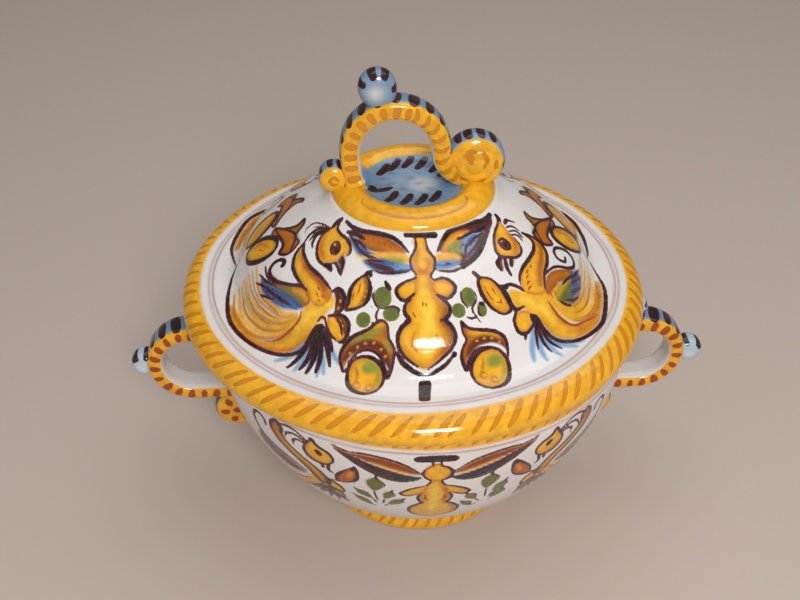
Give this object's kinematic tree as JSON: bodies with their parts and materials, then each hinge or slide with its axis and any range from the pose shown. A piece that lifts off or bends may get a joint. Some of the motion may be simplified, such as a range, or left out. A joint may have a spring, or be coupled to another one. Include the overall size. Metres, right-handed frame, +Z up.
{
  "type": "lidded tureen",
  "caption": "Round lidded tureen of painted tin-glazed earthenware with a foot ring, two looped side handles with rolled knobs and curls, and a domed lid with an arched, scrolled handle.",
  "frame": {"origin": "centre of the foot ring's resting plane", "axes": "+Z up, the two side handles along X with the lid handle's scroll towards +X, the painted front towards -Y"},
  "size_m": [0.3506, 0.26, 0.2726],
  "materials": {
    "white_glaze": "glossy tin glaze",
    "yellow_glaze": "glossy tin glaze, painted yellow",
    "blue_glaze": "glossy tin glaze, painted blue with dark dashes"
  },
  "bodies": {
    "pot": {"bowl": "white_glaze", "foot_ring": "yellow_glaze", "left_handle_strap": "yellow_glaze", "left_handle_knob": "blue_glaze", "left_handle_upper_curl": "blue_glaze", "left_handle_lower_curl": "yellow_glaze", "right_handle_strap": "yellow_glaze", "right_handle_knob": "blue_glaze", "right_handle_upper_curl": "blue_glaze", "right_handle_lower_curl": "yellow_glaze"},
    "lid": {"lid": "white_glaze", "lid_collar": "yellow_glaze", "lid_handle_arch": "yellow_glaze", "lid_handle_knob": "blue_glaze", "lid_handle_small_curl": "blue_glaze", "lid_handle_scroll": "yellow_glaze"}
  },
  "joints": [
    {"name": "lid_lift", "type": "slide", "parent": "pot", "child": "lid", "axis": [0, 0, 1], "range_m": [0, 0.15]}
  ]
}
